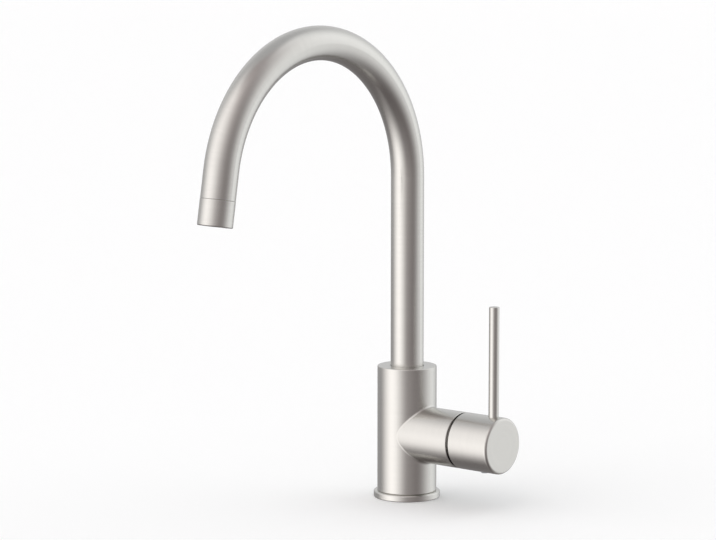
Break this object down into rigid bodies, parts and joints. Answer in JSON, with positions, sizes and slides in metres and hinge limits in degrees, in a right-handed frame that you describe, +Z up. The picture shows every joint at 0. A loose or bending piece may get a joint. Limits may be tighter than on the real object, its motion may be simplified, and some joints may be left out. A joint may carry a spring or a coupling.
{
  "type": "kitchen faucet",
  "caption": "Kitchen mixer faucet with a swivelling gooseneck spout, a side pin lever working a ceramic disc cartridge, an aerator outlet and a deck base ring.",
  "frame": {"origin": "centre of the base on the deck surface, on the barrel's and the spout's swivel axis", "axes": "+Z is up along the barrel, +X points along the handle axis away from the barrel, and -Y is the front, where the spout reaches over the sink"},
  "size_m": [0.1186, 0.2527, 0.3659],
  "materials": {
    "brushed_nickel": "satin brushed nickel plating over brass",
    "plain_brass": "machined brass",
    "stainless_steel": "machined stainless steel",
    "black_rubber": "matte moulded rubber",
    "white_plastic": "moulded acetal",
    "grey_plastic": "moulded acetal",
    "alumina_ceramic": "lapped alumina"
  },
  "bodies": {
    "tap_body": {"mixer_body": "brushed_nickel", "base_ring": "brushed_nickel", "base_gasket": "black_rubber", "spout_retaining_screw": "stainless_steel", "cartridge_base": "grey_plastic", "fixed_ceramic_disc": "alumina_ceramic", "port_seals": "black_rubber", "cartridge_shell": "grey_plastic", "cartridge_nut": "plain_brass", "cartridge_dome": "brushed_nickel"},
    "spout": {"spout_tube": "brushed_nickel", "spout_root": "plain_brass", "upper_glide_ring": "white_plastic", "lower_glide_ring": "white_plastic", "spout_o_rings": "black_rubber", "outlet_fitting": "plain_brass", "outlet_sleeve": "brushed_nickel", "outlet_washer": "black_rubber", "jet_plate": "white_plastic", "aerator_insert": "grey_plastic", "aerator_screen": "stainless_steel"},
    "turret": {"cartridge_turret": "white_plastic", "turret_o_ring": "black_rubber", "stem_pin": "stainless_steel"},
    "valve_disc": {"moving_ceramic_disc": "alumina_ceramic", "disc_carrier": "white_plastic"},
    "handle": {"lever_stem": "plain_brass", "handle_hub": "brushed_nickel", "pin_lever": "brushed_nickel", "hub_set_screw": "stainless_steel", "set_screw_plug": "grey_plastic"}
  },
  "joints": [
    {"name": "spout_swivel", "type": "hinge", "parent": "tap_body", "child": "spout", "pos_m": [0, 0, 0.0844], "axis": [0, 0, 1], "continuous": true},
    {"name": "lever_turn", "type": "hinge", "parent": "tap_body", "child": "turret", "pos_m": [0.042, 0, 0.0504], "axis": [1, 0, 0], "range_deg": [-50, 50]},
    {"name": "lever_lift", "type": "hinge", "parent": "turret", "child": "handle", "pos_m": [0.042, 0, 0.0504], "axis": [0, 1, 0], "range_deg": [0, 25]},
    {"name": "disc_slide", "type": "slide", "parent": "turret", "child": "valve_disc", "axis": [0, 0, 1], "range_m": [0, 0.0034]}
  ],
  "couplings": [
    {"joint": "disc_slide", "follows": "lever_lift", "m_per_rad": 0.0077485}
  ]
}
